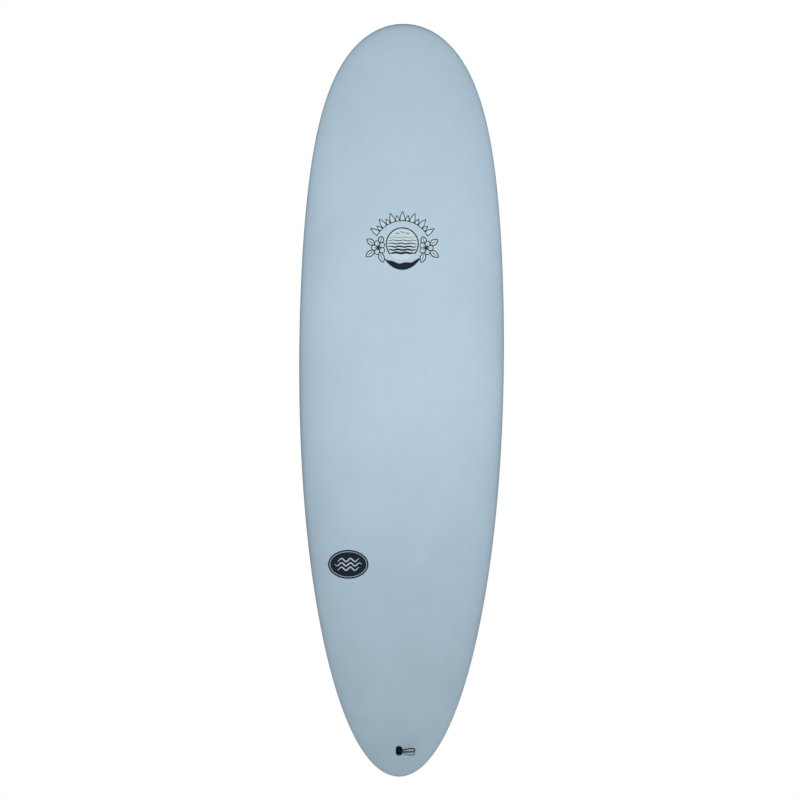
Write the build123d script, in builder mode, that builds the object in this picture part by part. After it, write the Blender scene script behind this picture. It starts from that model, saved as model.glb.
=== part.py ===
from build123d import *
import math
import os

# A soft-top surfboard of egg outline, standing on its tail as it hangs in a rack.
# Millimetres. +Z runs up the length to the nose, -Y out of the deck, +Y out of the
# bottom, X across. The origin is the middle of the flat patch of the bottom, at half length.

os.makedirs("parts", exist_ok=True)

# ---- driving dimensions ----------------------------------------------------------------

LENGTH = 2083.0
HALF_LENGTH = LENGTH / 2
PLAN_WIDTH = 282.0  # half width before the outline's fullness terms
THICKNESS = 79.0
NOSE_ROCKER = 115.0
TAIL_ROCKER = 50.0
FLAT_DEPTH = 0.5  # how far the mid bottom would bulge past the flat patch that is cut there
MAX_HALF_WIDTH = 283.0  # turns an inset in millimetres into a share of the width
TUCK = 28.0  # radius where the flat bottom turns up into the rail
TUCK_SHARE = 0.45  # most of the half width that the tuck may take, near the tips
APEX = 0.42  # height of the widest point of the rail, as a share of the thickness
DECK_POWER = 2.8  # squareness of the deck's crown
BEND_STEPS = 4  # points round the tuck
CROWN_STEPS = 16  # points over the deck

DECK_SKIN = 5.0
BOTTOM_SKIN = 3.0
RAIL_SKIN = 9.0
END_SKIN = 14.0
SKIN_SUM = DECK_SKIN + BOTTOM_SKIN
THINNING = 1.12  # makes the loss at mid length come out at the sum of the skins
GLUE = 0.3  # glue line between the skins and the core
SLICK_INSET = 24.0  # from the outline to the edge of the bottom skin
STRINGER_X = 60.0
STRINGER_THICK = 4.0

STATIONS = 29
STATION_SWEEP = 88.5  # degrees either side of the middle that the stations cover
SLICK_POINTS = 25
PARTING_POINTS = 21
PARTING_SWEEP = 89.0
OUTSIDE = 350.0  # farther out than any point of a cross-section
PAST = 30.0  # how far a cutting shape runs past what it cuts

PLUG_FROM_TAIL = 72.0
PLUG_SIZE = (18.6, 27.5)  # flange, across and along
PLUG_BODY = (16.4, 25.0)
PLUG_CAVITY = (13.0, 20.6)
PLUG_DEPTH = 20.0
PLUG_FLANGE = 2.2
PLUG_PROUD = 0.3
PLUG_FLOOR = 2.0
PIN_RADIUS = 2.0
PIN_BELOW = 4.5  # from the flange's face down to the pin's axis
PIN_LENGTH = 24.0
HITCH_RADIUS = 5.4
HITCH_LENGTH = 8.4
HITCH_EDGE = 1.6
RUNNING = 0.05  # radial clearance of everything that turns
STRING_DIAMETER = 3.4
CORNER_SHARE = 0.45  # of the shorter run at a corner of the string that its arc may take

CENTRE_BOX_FROM_TAIL = 262.0  # to the middle of the box
CENTRE_BOX = (25.0, 265.0, 22.0)  # width, length, depth
CENTRE_SLOT = (8.6, 235.0, 17.0)
GROOVE_WIDTH = 15.0
GROOVE_TOP = 8.0
GROOVE_BOTTOM = 13.6
FIN_GAP = 0.8  # between the hull and the root of a fin
ROOT_BITE = 1.0  # how far a tab runs up into its blade
CENTRE_TAB = (8.0, 128.0, 16.2)  # thickness, length, depth
LEDGE_LENGTH = 22.0
LEDGE_TOP = 1.6
LEDGE_BOTTOM = 7.8
LEDGE_BITE = 2.0  # how far the ledge runs into the tab
PLATE = (14.2, 13.0, 3.0)
PLATE_TOP = 8.6
SCREW_HEAD = (3.6, 2.4)  # radius, height
SCREW_SHANK = 2.0
SCREW_LENGTH = 13.0
DRIVE = (1.2, 5.0, 1.3)  # arms of the cross recess: width, length, depth
ROLL_PIN = (2.0, 14.2)  # radius, length
ROLL_PIN_DEPTH = 10.8
ROLL_PIN_INSET = 9.0  # from the tab's rear end

SIDE_BOX_FROM_TAIL = 415.0
SIDE_BOX_X = 172.0
SIDE_BOX = (24.0, 118.0, 17.0)
SIDE_BOX_CORNER = 9.0
SIDE_CANT = 6.0
SIDE_TOE = 1.5
TAB_POCKET = (7.2, 28.0, 14.0)  # width, length, depth
TAB = (6.6, 27.4, 13.4)
TAB_SPACING = 68.0
GRUB_RADIUS = 2.5
GRUB_LENGTH = 5.6
GRUB_LEAN = 38.0
GRUB_GAP = 0.15  # between a grub screw's tip and the tab
GRUB_AT = 0.62  # depth of a grub screw's tip, as a share of its pocket's depth
GRUB_SOCKET = (1.4, 2.4)  # radius, depth

CENTRE_FIN = dict(height=178.0, base=126.0, tip=38.0, rake=92.0, thick=7.8)
SIDE_FIN = dict(height=96.0, base=104.0, tip=26.0, rake=52.0, thick=6.4)
FIN_EDGE = 1.2  # thickness that a blade thins down toward at its tip
FIN_SLICES = 8
FIN_SWEEP = 80.0  # degrees of the quarter turn that spaces the slices
CHORD_POWER = 0.9  # how full the outline stays toward the tip
RAKE_POWER = 1.7  # how late the rake sets in
FOIL_FULLEST = 0.15  # thickest point ahead of mid chord, as a share of half the chord


# ---- the hull's formulas -----------------------------------------------------------------
# c is the station along the length: -1 at the tail, 0 in the middle, +1 at the nose.

def half_width(c):
    fullness = 1 + 0.085 * c + 0.126 * c**2 + 0.142 * c**3 + 0.094 * c**4
    return PLAN_WIDTH * math.sqrt(1 - c * c) * fullness


def thickness(c):
    foil = 1 - 0.135 * c - 0.662 * c**2 + 0.426 * c**4
    return THICKNESS * (1 - c * c) ** 0.35 * foil


def bottom_y(c):
    rise = NOSE_ROCKER * c**2.6 if c > 0 else TAIL_ROCKER * (-c) ** 2.4
    return FLAT_DEPTH - rise


def deck_y(z):
    return bottom_y(z / HALF_LENGTH) - thickness(z / HALF_LENGTH)


def slope(height, z):
    """Angle of a profile against the Z axis, in degrees, at z."""
    return math.degrees(math.atan2(height(z + 1) - height(z - 1), 2.0))


def section_points(width, low, thick):
    """Round one cross-section from the flat bottom's edge over the rail, deck and other rail."""
    tuck = min(TUCK, TUCK_SHARE * width)
    apex = APEX * thick
    bend = []
    for k in range(BEND_STEPS):
        turn = math.radians(90.0 * k / BEND_STEPS)
        bend.append((width - tuck + tuck * math.sin(turn), low - apex * (1 - math.cos(turn))))
    crown = []
    for k in range(CROWN_STEPS + 1):
        turn = math.pi * k / CROWN_STEPS
        reach = abs(math.cos(turn)) ** (2 / DECK_POWER)
        across = math.copysign(width * reach, math.cos(turn))
        crown.append((across, low - apex - (thick - apex) * math.sin(turn)))
    return bend + crown + [(-x, y) for x, y in reversed(bend)]


def path_shares(points):
    """How far along its own length each point of a path lies, from 0 to 1."""
    walked = [0.0]
    for start, end in zip(points, points[1:]):
        walked.append(walked[-1] + math.dist(start, end))
    return [length / walked[-1] for length in walked]


SHARES = path_shares(section_points(half_width(0), 0, THICKNESS))


def draw_section(z, width, low, thick):
    """One cross-section: a flat bottom, and one curve round the tucked rails and the deck."""
    around = section_points(width, low, thick)
    with BuildSketch(Plane.XY.offset(z)) as section:
        with BuildLine():
            Line(around[-1], around[0])
            add(Edge.make_spline(around, parameters=SHARES))
        make_face()
    return section.sketch


def station(k):
    return math.sin(math.radians(STATION_SWEEP * (2 * k / (STATIONS - 1) - 1)))


def hull_sections(skin, extra):
    """Sections of the outer hull (skin 0), or of the space inside the skins (skin 1)."""
    sections = []
    reach = HALF_LENGTH - skin * END_SKIN - extra
    narrow = 1 - (skin * RAIL_SKIN + extra) / MAX_HALF_WIDTH
    for k in range(STATIONS):
        c = station(k)
        true_c = c * reach / HALF_LENGTH
        full = thickness(true_c)
        inside = thickness(c)
        lost = (skin * SKIN_SUM + 2 * extra) * THINNING
        thick = inside * inside / (inside + lost)
        below = (full - thick) * BOTTOM_SKIN / SKIN_SUM
        low = bottom_y(true_c) - below
        sections.append(draw_section(c * reach, half_width(c) * narrow, low, thick))
    return sections


with BuildPart() as outer:
    loft(hull_sections(0, 0))
    split(bisect_by=Plane.XZ, keep=Keep.TOP)

with BuildPart() as inner:
    loft(hull_sections(1, 0))

with BuildPart() as foam:
    loft(hull_sections(1, GLUE))


# ---- skins, core and stringers -------------------------------------------------------------

def frame_on(origin, lean, cant=0.0, toe=0.0, deck=False):
    """A plane on the hull: its normal points out of the bottom (or the deck).

    lean tips it along the length with the rocker, cant tips it across the board and toe
    turns it about its own normal. Its local X runs across the board.
    """
    outward = Vector(0, -1 if deck else 1, 0)
    across = Vector(1, 0, 0)
    tips = ((Axis.X, lean), (Axis.Z, cant), (Axis.Y, toe))
    for axis, angle in tips:
        outward = outward.rotate(axis, angle)
        across = across.rotate(axis, angle)
    return Plane(origin=origin, x_dir=across, z_dir=outward)


def profile_points(count):
    """Stations of the side profile's parting line, halfway up the hull, tail to nose."""
    points = []
    for k in range(count):
        c = math.sin(math.radians(PARTING_SWEEP * (2 * k / (count - 1) - 1)))
        points.append((bottom_y(c) - 0.5 * thickness(c), c * HALF_LENGTH))
    return points


def slick_outline(count):
    """Half outline of the bottom skin, tail to nose, inset from the hull's outline."""
    points = []
    for k in range(count):
        c = math.sin(math.radians(90.0 * (2 * k / (count - 1) - 1)))
        across = half_width(c) * (1 - SLICK_INSET / MAX_HALF_WIDTH)
        points.append((across, c * (HALF_LENGTH - SLICK_INSET)))
    return points


with BuildPart() as slick_zone:
    with BuildSketch(Plane.XZ.offset(OUTSIDE)):
        with BuildLine():
            Spline(*slick_outline(SLICK_POINTS), tangents=[(1, 0), (-1, 0)])
            mirror(about=Plane.YZ)
        make_face()
    extrude(amount=-2 * OUTSIDE)
    with BuildSketch(Plane.YZ.offset(-OUTSIDE)):
        with BuildLine():
            parting = profile_points(PARTING_POINTS)
            tail_end = -HALF_LENGTH - PAST
            nose_end = HALF_LENGTH + PAST
            Line((OUTSIDE, tail_end), (parting[0][0], tail_end))
            Line((parting[0][0], tail_end), parting[0])
            Spline(*parting)
            Line(parting[-1], (parting[-1][0], nose_end))
            Line((parting[-1][0], nose_end), (OUTSIDE, nose_end))
            Line((OUTSIDE, nose_end), (OUTSIDE, tail_end))
        make_face()
    extrude(amount=2 * OUTSIDE, mode=Mode.INTERSECT)


# ---- where the fittings sit ----------------------------------------------------------------

PLUG_Z = -HALF_LENGTH + PLUG_FROM_TAIL
CENTRE_BOX_Z = -HALF_LENGTH + CENTRE_BOX_FROM_TAIL
SIDE_BOX_Z = -HALF_LENGTH + SIDE_BOX_FROM_TAIL


def hull_bottom(z):
    return bottom_y(z / HALF_LENGTH)


plug_frame = frame_on((0, deck_y(PLUG_Z) - PLUG_PROUD, PLUG_Z), -slope(deck_y, PLUG_Z), deck=True)
centre_frame = frame_on((0, hull_bottom(CENTRE_BOX_Z), CENTRE_BOX_Z), -slope(hull_bottom, CENTRE_BOX_Z))
side_frames = {
    name: frame_on(
        (way * SIDE_BOX_X, hull_bottom(SIDE_BOX_Z), SIDE_BOX_Z),
        -slope(hull_bottom, SIDE_BOX_Z),
        cant=-way * SIDE_CANT,
        toe=-way * SIDE_TOE,
    )
    for name, way in (("left", -1), ("right", 1))
}


def level(frame, height, across=0.0, along=0.0):
    """The same plane, moved by its own X, Y and outward directions."""
    return Plane(frame.from_local_coords((across, along, height)), x_dir=frame.x_dir, z_dir=frame.z_dir)


def make_block(frame, size, top, bottom, round_ends=False, along=0.0):
    """A bar along the frame's Y, from the top height down to the bottom height."""
    width, length = size
    with BuildPart() as block:
        with BuildSketch(level(frame, bottom, along=along)):
            if round_ends:
                SlotOverall(length, width, rotation=90)
            else:
                Rectangle(width, length)
        extrude(amount=top - bottom)
    return block.part


def make_rod(frame, radius, start, direction, length):
    """A round bar from a local start point along a local direction."""
    origin = frame.from_local_coords(start)
    toward = frame.from_local_coords(Vector(*start) + Vector(*direction)) - origin
    with BuildPart() as rod:
        with BuildSketch(Plane(origin, z_dir=toward)):
            Circle(radius)
        extrude(amount=length)
    return rod.part


# ---- leash plug and string -----------------------------------------------------------------

PIN_START = (0, -PIN_LENGTH / 2, -PIN_BELOW)
ALONG = (0, 1, 0)

with BuildPart() as plug_outside:
    add(make_block(plug_frame, PLUG_SIZE, 0, -PLUG_FLANGE, round_ends=True))
    add(make_block(plug_frame, PLUG_BODY, -PLUG_FLANGE, -PLUG_DEPTH, round_ends=True))

with BuildPart() as leash_plug_cup:
    add(plug_outside)
    add(
        make_block(plug_frame, PLUG_CAVITY, PAST, PLUG_FLOOR - PLUG_DEPTH, round_ends=True),
        mode=Mode.SUBTRACT,
    )
    add(make_rod(plug_frame, PIN_RADIUS, PIN_START, ALONG, PIN_LENGTH), mode=Mode.SUBTRACT)

with BuildPart() as leash_plug_pin:
    add(make_rod(plug_frame, PIN_RADIUS, PIN_START, ALONG, PIN_LENGTH))

with BuildPart() as leash_hitch:
    hitch_start = (0, -HITCH_LENGTH / 2, -PIN_BELOW)
    add(make_rod(plug_frame, HITCH_RADIUS, hitch_start, ALONG, HITCH_LENGTH))
    fillet(leash_hitch.edges(), radius=HITCH_EDGE)
    add(
        make_rod(plug_frame, PIN_RADIUS + RUNNING, (0, -PAST, -PIN_BELOW), ALONG, 2 * PAST),
        mode=Mode.SUBTRACT,
    )

# The string's loop, in the plug's own frame: across, along and out of the deck. It leaves the
# hitch, leans over to the right and folds back tightly at its far end.
STRING_ROUTE = [
    (3.0, 2.1, -0.8),
    (6.4, 2.3, 3.6),
    (12.4, 3.1, 7.2),
    (20.0, 4.6, 9.6),
    (29.0, 6.6, 11.2),
    (37.6, 7.4, 12.4),
    (43.4, 5.6, 13.0),
    (44.0, 0.4, 13.0),
    (38.6, -1.8, 12.2),
    (29.6, -2.6, 10.6),
    (20.6, -3.2, 9.0),
    (12.8, -2.9, 6.6),
    (6.6, -2.3, 3.2),
    (3.0, -2.1, -1.0),
]


def corner_radii(points):
    """The largest arc that each corner's two runs allow."""
    radii = []
    for before, corner, after in zip(points, points[1:], points[2:]):
        arriving = Vector(*corner) - Vector(*before)
        leaving = Vector(*after) - Vector(*corner)
        half_turn = math.radians(arriving.get_angle(leaving)) / 2
        radii.append(CORNER_SHARE * min(arriving.length, leaving.length) / math.tan(half_turn))
    return radii


string_points = [tuple(plug_frame.from_local_coords(point)) for point in STRING_ROUTE]
string_radii = corner_radii(string_points)
with BuildPart() as leash_string:
    with BuildLine() as string_path:
        FilletPolyline(*string_points, radius=string_radii)
    with BuildSketch(Plane(string_path.wire() @ 0, z_dir=string_path.wire() % 0)):
        Circle(STRING_DIAMETER / 2)
    sweep()
    add(leash_hitch, mode=Mode.SUBTRACT)
    add(make_rod(plug_frame, HITCH_RADIUS, hitch_start, ALONG, HITCH_LENGTH), mode=Mode.SUBTRACT)
string_length = string_path.wire().length
print("string radii", [round(radius, 1) for radius in string_radii])
print("string length", round(string_length, 2), "volume", round(leash_string.part.volume, 1),
      "section x length", round(math.pi * STRING_DIAMETER**2 / 4 * string_length, 1))


# ---- centre fin box and its fin ------------------------------------------------------------

with BuildPart() as centre_box_block:
    add(make_block(centre_frame, CENTRE_BOX[:2], PAST, -CENTRE_BOX[2], round_ends=True))

with BuildPart() as centre_fin_box:
    add(centre_box_block)
    add(outer, mode=Mode.INTERSECT)
    add(make_block(centre_frame, CENTRE_SLOT[:2], PAST, -CENTRE_SLOT[2]), mode=Mode.SUBTRACT)
    add(
        make_block(centre_frame, (GROOVE_WIDTH, CENTRE_SLOT[1]), -GROOVE_TOP, -GROOVE_BOTTOM),
        mode=Mode.SUBTRACT,
    )


def draw_foil(frame, chord, thick, middle, height):
    """A lens-shaped slice of a fin, its chord along the frame's Y."""
    half = chord / 2
    with BuildSketch(level(frame, height, along=middle)) as foil:
        with BuildLine():
            ThreePointArc((0, -half), (thick / 2, -half * FOIL_FULLEST), (0, half))
            ThreePointArc((0, half), (-thick / 2, -half * FOIL_FULLEST), (0, -half))
        make_face()
    return foil.sketch


def make_blade(frame, fin, middle):
    """A raked fin blade that stands out of the bottom; its tip is swept toward the tail."""
    slices = []
    for k in range(FIN_SLICES):
        turn = math.radians(FIN_SWEEP * k / (FIN_SLICES - 1))
        share = math.sin(turn)
        taper = math.cos(turn)
        height = FIN_GAP + share * fin["height"] / math.sin(math.radians(FIN_SWEEP))
        chord = fin["tip"] + (fin["base"] - fin["tip"]) * taper**CHORD_POWER
        thick = FIN_EDGE + (fin["thick"] - FIN_EDGE) * taper
        sweep_back = middle + fin["rake"] * share**RAKE_POWER
        slices.append(draw_foil(frame, chord, thick, sweep_back, height))
    return loft(slices)


LEDGE_MIDDLE = -CENTRE_TAB[1] / 2
TAB_MIDDLE = LEDGE_LENGTH / 2
PIN_ALONG = TAB_MIDDLE + CENTRE_TAB[1] / 2 - ROLL_PIN_INSET
UP = (0, 0, 1)
ACROSS = (1, 0, 0)

shank_hole = make_rod(centre_frame, SCREW_SHANK + RUNNING, (0, LEDGE_MIDDLE, -PAST), UP, 2 * PAST)
head_hole_foot = (0, LEDGE_MIDDLE, -LEDGE_TOP - SCREW_HEAD[1] - RUNNING)
head_hole = make_rod(centre_frame, SCREW_HEAD[0] + RUNNING, head_hole_foot, UP, PAST)
roll_pin_hole = make_rod(centre_frame, ROLL_PIN[0], (-PAST, PIN_ALONG, -ROLL_PIN_DEPTH), ACROSS, 2 * PAST)
ledge = make_block(
    centre_frame,
    (CENTRE_TAB[0], LEDGE_LENGTH + LEDGE_BITE),
    -LEDGE_TOP,
    -LEDGE_BOTTOM,
    along=LEDGE_MIDDLE + LEDGE_BITE / 2,
)

with BuildPart() as centre_fin:
    add(make_blade(centre_frame, CENTRE_FIN, TAB_MIDDLE))
    add(make_block(centre_frame, CENTRE_TAB[:2], FIN_GAP + ROOT_BITE, -CENTRE_TAB[2], along=TAB_MIDDLE))
    add(ledge)
    add([shank_hole, head_hole, roll_pin_hole], mode=Mode.SUBTRACT)

with BuildPart() as centre_fin_roll_pin:
    pin_start = (-ROLL_PIN[1] / 2, PIN_ALONG, -ROLL_PIN_DEPTH)
    add(make_rod(centre_frame, ROLL_PIN[0], pin_start, ACROSS, ROLL_PIN[1]))

with BuildPart() as centre_fin_plate:
    add(make_block(centre_frame, PLATE[:2], -PLATE_TOP, -PLATE_TOP - PLATE[2], along=LEDGE_MIDDLE))
    add(shank_hole, mode=Mode.SUBTRACT)

with BuildPart() as centre_fin_screw:
    screw_foot = (0, LEDGE_MIDDLE, -LEDGE_TOP - SCREW_LENGTH)
    head_foot = (0, LEDGE_MIDDLE, -LEDGE_TOP - SCREW_HEAD[1])
    add(make_rod(centre_frame, SCREW_SHANK, screw_foot, UP, SCREW_LENGTH - SCREW_HEAD[1] / 2))
    add(make_rod(centre_frame, SCREW_HEAD[0], head_foot, UP, SCREW_HEAD[1]))
    drive = level(centre_frame, -LEDGE_TOP - DRIVE[2], along=LEDGE_MIDDLE)
    add(make_block(drive, (DRIVE[0], DRIVE[1]), PAST, 0), mode=Mode.SUBTRACT)
    add(make_block(drive, (DRIVE[1], DRIVE[0]), PAST, 0), mode=Mode.SUBTRACT)


# ---- side fin boxes and their fins ---------------------------------------------------------

def grub_axis(way, along):
    """Local start, on the tab's side, and direction of a grub screw's axis."""
    lean = math.radians(GRUB_LEAN)
    tip = (way * (TAB[0] / 2 + GRUB_GAP), along, -TAB_POCKET[2] * GRUB_AT)
    return tip, (way * math.sin(lean), 0, math.cos(lean))


def make_side_block(frame):
    with BuildPart() as block:
        with BuildSketch(level(frame, -SIDE_BOX[2])):
            RectangleRounded(SIDE_BOX[0], SIDE_BOX[1], SIDE_BOX_CORNER)
        extrude(amount=SIDE_BOX[2] + PAST)
    return block.part


def make_side_box(frame, way):
    with BuildPart() as box:
        add(make_side_block(frame))
        add(outer, mode=Mode.INTERSECT)
        for along in (-TAB_SPACING / 2, TAB_SPACING / 2):
            add(
                make_block(frame, TAB_POCKET[:2], PAST, -TAB_POCKET[2], along=along),
                mode=Mode.SUBTRACT,
            )
            tip, direction = grub_axis(way, along)
            add(make_rod(frame, GRUB_RADIUS + RUNNING, tip, direction, PAST), mode=Mode.SUBTRACT)
    return box.part


def make_side_fin(frame):
    with BuildPart() as fin:
        add(make_blade(frame, SIDE_FIN, 0))
        for along in (-TAB_SPACING / 2, TAB_SPACING / 2):
            add(make_block(frame, TAB[:2], FIN_GAP + ROOT_BITE, -TAB[2], along=along))
    return fin.part


def make_grub(frame, way, along):
    """A short headless screw, cut square to its axis, with a hexagon socket."""
    tip, direction = grub_axis(way, along)
    lean = math.radians(GRUB_LEAN)
    lift = GRUB_RADIUS / math.tan(lean) + GRUB_GAP
    start = Vector(*tip) + Vector(*direction) * lift
    with BuildPart() as grub:
        add(make_rod(frame, GRUB_RADIUS, tuple(start), direction, GRUB_LENGTH))
        socket = start + Vector(*direction) * (GRUB_LENGTH - GRUB_SOCKET[1])
        origin = frame.from_local_coords(tuple(socket))
        toward = frame.from_local_coords(tuple(socket + Vector(*direction))) - origin
        with BuildSketch(Plane(origin, z_dir=toward)):
            RegularPolygon(GRUB_SOCKET[0], 6)
        extrude(amount=PAST, mode=Mode.SUBTRACT)
    return grub.part


side_boxes = {}
side_fins = {}
grubs = {}
for name, way in (("left", -1), ("right", 1)):
    frame = side_frames[name]
    side_boxes[name] = make_side_box(frame, way)
    side_fins[name] = make_side_fin(frame)
    for end, along in (("front", -TAB_SPACING / 2), ("rear", TAB_SPACING / 2)):
        grubs[name + "_" + end] = make_grub(frame, way, along)


# ---- the laminated hull --------------------------------------------------------------------

with BuildPart() as bottom_skin:
    add(outer)
    add(slick_zone, mode=Mode.INTERSECT)
    add(inner, mode=Mode.SUBTRACT)
    add(centre_box_block, mode=Mode.SUBTRACT)
    for frame in side_frames.values():
        add(make_side_block(frame), mode=Mode.SUBTRACT)

with BuildPart() as deck_skin:
    add(outer)
    add(slick_zone, mode=Mode.SUBTRACT)
    add(inner, mode=Mode.SUBTRACT)
    add(plug_outside, mode=Mode.SUBTRACT)


def cut_core(low, high):
    """The foam between two upright planes across the board, with its pockets cut."""
    with BuildPart() as slab:
        add(foam)
        with BuildSketch(Plane.XY.offset(-HALF_LENGTH)):
            with Locations(((low + high) / 2, 0)):
                Rectangle(high - low, 2 * OUTSIDE)
        extrude(amount=LENGTH, mode=Mode.INTERSECT)
        add(plug_outside, mode=Mode.SUBTRACT)
        add(centre_box_block, mode=Mode.SUBTRACT)
        for frame in side_frames.values():
            add(make_side_block(frame), mode=Mode.SUBTRACT)
    return slab.part


INNER_FACE = STRINGER_X - STRINGER_THICK / 2
OUTER_FACE = STRINGER_X + STRINGER_THICK / 2
hull_pieces = {
    "core_left": cut_core(-OUTSIDE, -OUTER_FACE),
    "stringer_left": cut_core(-OUTER_FACE, -INNER_FACE),
    "core_centre": cut_core(-INNER_FACE, INNER_FACE),
    "stringer_right": cut_core(INNER_FACE, OUTER_FACE),
    "core_right": cut_core(OUTER_FACE, OUTSIDE),
}


# ---- writing the pieces --------------------------------------------------------------------

pieces = {
    "bottom_skin": bottom_skin.part,
    "deck_skin": deck_skin.part,
    "leash_plug_cup": leash_plug_cup.part,
    "leash_plug_pin": leash_plug_pin.part,
    "leash_hitch": leash_hitch.part,
    "leash_string": leash_string.part,
    "centre_fin_box": centre_fin_box.part,
    "centre_fin": centre_fin.part,
    "centre_fin_roll_pin": centre_fin_roll_pin.part,
    "centre_fin_plate": centre_fin_plate.part,
    "centre_fin_screw": centre_fin_screw.part,
}
pieces.update(hull_pieces)
for name in side_frames:
    pieces["side_fin_box_" + name] = side_boxes[name]
    pieces["side_fin_" + name] = side_fins[name]
for name, part in grubs.items():
    pieces["grub_screw_" + name] = part

for name, part in pieces.items():
    part.label = name
    export_step(part, "parts/" + name + ".step")
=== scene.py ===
"""Looks for the soft-top surfboard: printed foam deck, slick bottom, fins, leash plug and cord.

Everything is in metres in the row's frame: +Z to the nose, -Y out of the deck and +Y out of the
bottom.
"""

import math

import bmesh
import bpy
from mathutils import Matrix, Vector


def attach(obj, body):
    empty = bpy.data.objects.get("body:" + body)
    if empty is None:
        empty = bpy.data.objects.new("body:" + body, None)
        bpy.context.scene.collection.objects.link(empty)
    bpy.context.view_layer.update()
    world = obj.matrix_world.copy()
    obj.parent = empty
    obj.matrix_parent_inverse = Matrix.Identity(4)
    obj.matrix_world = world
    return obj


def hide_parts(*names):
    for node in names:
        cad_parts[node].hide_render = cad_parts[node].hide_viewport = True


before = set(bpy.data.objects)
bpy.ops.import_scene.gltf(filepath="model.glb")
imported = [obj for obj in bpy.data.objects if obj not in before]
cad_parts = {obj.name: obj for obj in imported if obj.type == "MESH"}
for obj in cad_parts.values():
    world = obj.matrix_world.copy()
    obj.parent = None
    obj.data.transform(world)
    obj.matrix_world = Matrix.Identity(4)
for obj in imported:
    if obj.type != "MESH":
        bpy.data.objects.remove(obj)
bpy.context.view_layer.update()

# ---- the hull's formulas, as in the CAD source ---------------------------------------------

HALF_LENGTH = 1.0415
PLAN_WIDTH = 0.282  # half width before the outline's fullness terms
THICKNESS = 0.079
NOSE_ROCKER = 0.115
TAIL_ROCKER = 0.050
FLAT_DEPTH = 0.0005
TUCK = 0.028  # radius where the flat bottom turns up into the rail
TUCK_SHARE = 0.45  # most of the half width that the tuck may take, near the tips
APEX = 0.42  # height of the widest point of the rail, as a share of the thickness
DECK_POWER = 2.8  # squareness of the deck's crown
END_SKIN = 0.014
RAIL_SKIN = 0.009
SKIN_SUM = 0.008  # deck skin and bottom skin together
BOTTOM_SHARE = 3 / 8  # the bottom skin's part of that sum
THINNING = 1.12  # makes the loss at mid length come out at the sum of the skins
SLICK_INSET = 0.024  # from the outline to the edge of the bottom skin
MAX_HALF_WIDTH = 0.283
TIP = 0.99965  # past this the thickness and the slopes are held, as the CAD is cut off there


def half_width(c):
    fullness = 1 + 0.085 * c + 0.126 * c**2 + 0.142 * c**3 + 0.094 * c**4
    return PLAN_WIDTH * math.sqrt(max(0.0, 1 - c * c)) * fullness


def thickness(c):
    foil = 1 - 0.135 * c - 0.662 * c**2 + 0.426 * c**4
    return THICKNESS * max(0.0, 1 - c * c) ** 0.35 * foil


def bottom_y(c):
    rise = NOSE_ROCKER * c**2.6 if c > 0 else TAIL_ROCKER * (-c) ** 2.4
    return FLAT_DEPTH - rise


class Hull:
    """The outer surface (skin 0) or the surface inside the skins (skin 1)."""

    def __init__(self, skin):
        self.skin = skin
        self.reach = HALF_LENGTH - skin * END_SKIN
        self.narrow = 1 - skin * RAIL_SKIN / MAX_HALF_WIDTH

    def section(self, z):
        """Half width, bottom height and thickness at z."""
        width = half_width(max(-1.0, min(1.0, z / self.reach))) * self.narrow
        c = max(-TIP, min(TIP, z / self.reach))
        true_c = c * self.reach / HALF_LENGTH
        inside = thickness(c)
        lost = self.skin * SKIN_SUM * THINNING
        thick = inside * inside / (inside + lost)
        below = (thickness(true_c) - thick) * BOTTOM_SHARE if self.skin else 0.0
        low = bottom_y(true_c) - below
        if not self.skin:
            low = min(low, 0.0)
        return width, low, thick

    def deck(self, x, z):
        width, low, thick = self.section(z)
        share = min(1.0, abs(x) / max(width, 1e-6))
        crown = math.sqrt(max(0.0, 1 - share**DECK_POWER))
        return low - thick * (APEX + (1 - APEX) * crown)

    def bottom(self, x, z):
        width, low, thick = self.section(z)
        tuck = min(TUCK, TUCK_SHARE * width)
        past = (abs(x) - (width - tuck)) / tuck if tuck > 1e-6 else 1.0
        if past <= 0:
            return low
        return low - APEX * thick * (1 - math.sqrt(max(0.0, 1 - min(1.0, past) ** 2)))


OUTER = Hull(0)
INNER = Hull(1)


def slick_edge(c):
    """A point of the bottom skin's edge, in plan, for a station c."""
    return half_width(c) * (1 - SLICK_INSET / MAX_HALF_WIDTH), c * (HALF_LENGTH - SLICK_INSET)


# ---- making meshes -------------------------------------------------------------------------

def make_piece(name, verts, faces, material, sharp=40.0, merge=1e-6):
    mesh = bpy.data.meshes.new(name)
    mesh.from_pydata([tuple(v) for v in verts], [], faces)
    tidy = bmesh.new()
    tidy.from_mesh(mesh)
    bmesh.ops.remove_doubles(tidy, verts=tidy.verts, dist=merge)
    bmesh.ops.dissolve_degenerate(tidy, edges=tidy.edges, dist=merge)
    bmesh.ops.recalc_face_normals(tidy, faces=tidy.faces)
    tidy.to_mesh(mesh)
    tidy.free()
    piece = bpy.data.objects.new(name, mesh)
    bpy.context.scene.collection.objects.link(piece)
    finish_mesh(piece, material, sharp)
    return piece


def finish_mesh(piece, material, sharp=40.0):
    piece.data.materials.clear()
    piece.data.materials.append(material)
    piece.data.polygons.foreach_set("use_smooth", [True] * len(piece.data.polygons))
    piece.data.set_sharp_from_angle(angle=math.radians(sharp))
    piece.data.update()


def grid_faces(rows, columns, start=0, flip=False):
    faces = []
    for r in range(rows - 1):
        for k in range(columns - 1):
            a = start + r * columns + k
            face = (a, a + 1, a + columns + 1, a + columns)
            faces.append(face[::-1] if flip else face)
    return faces


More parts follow.
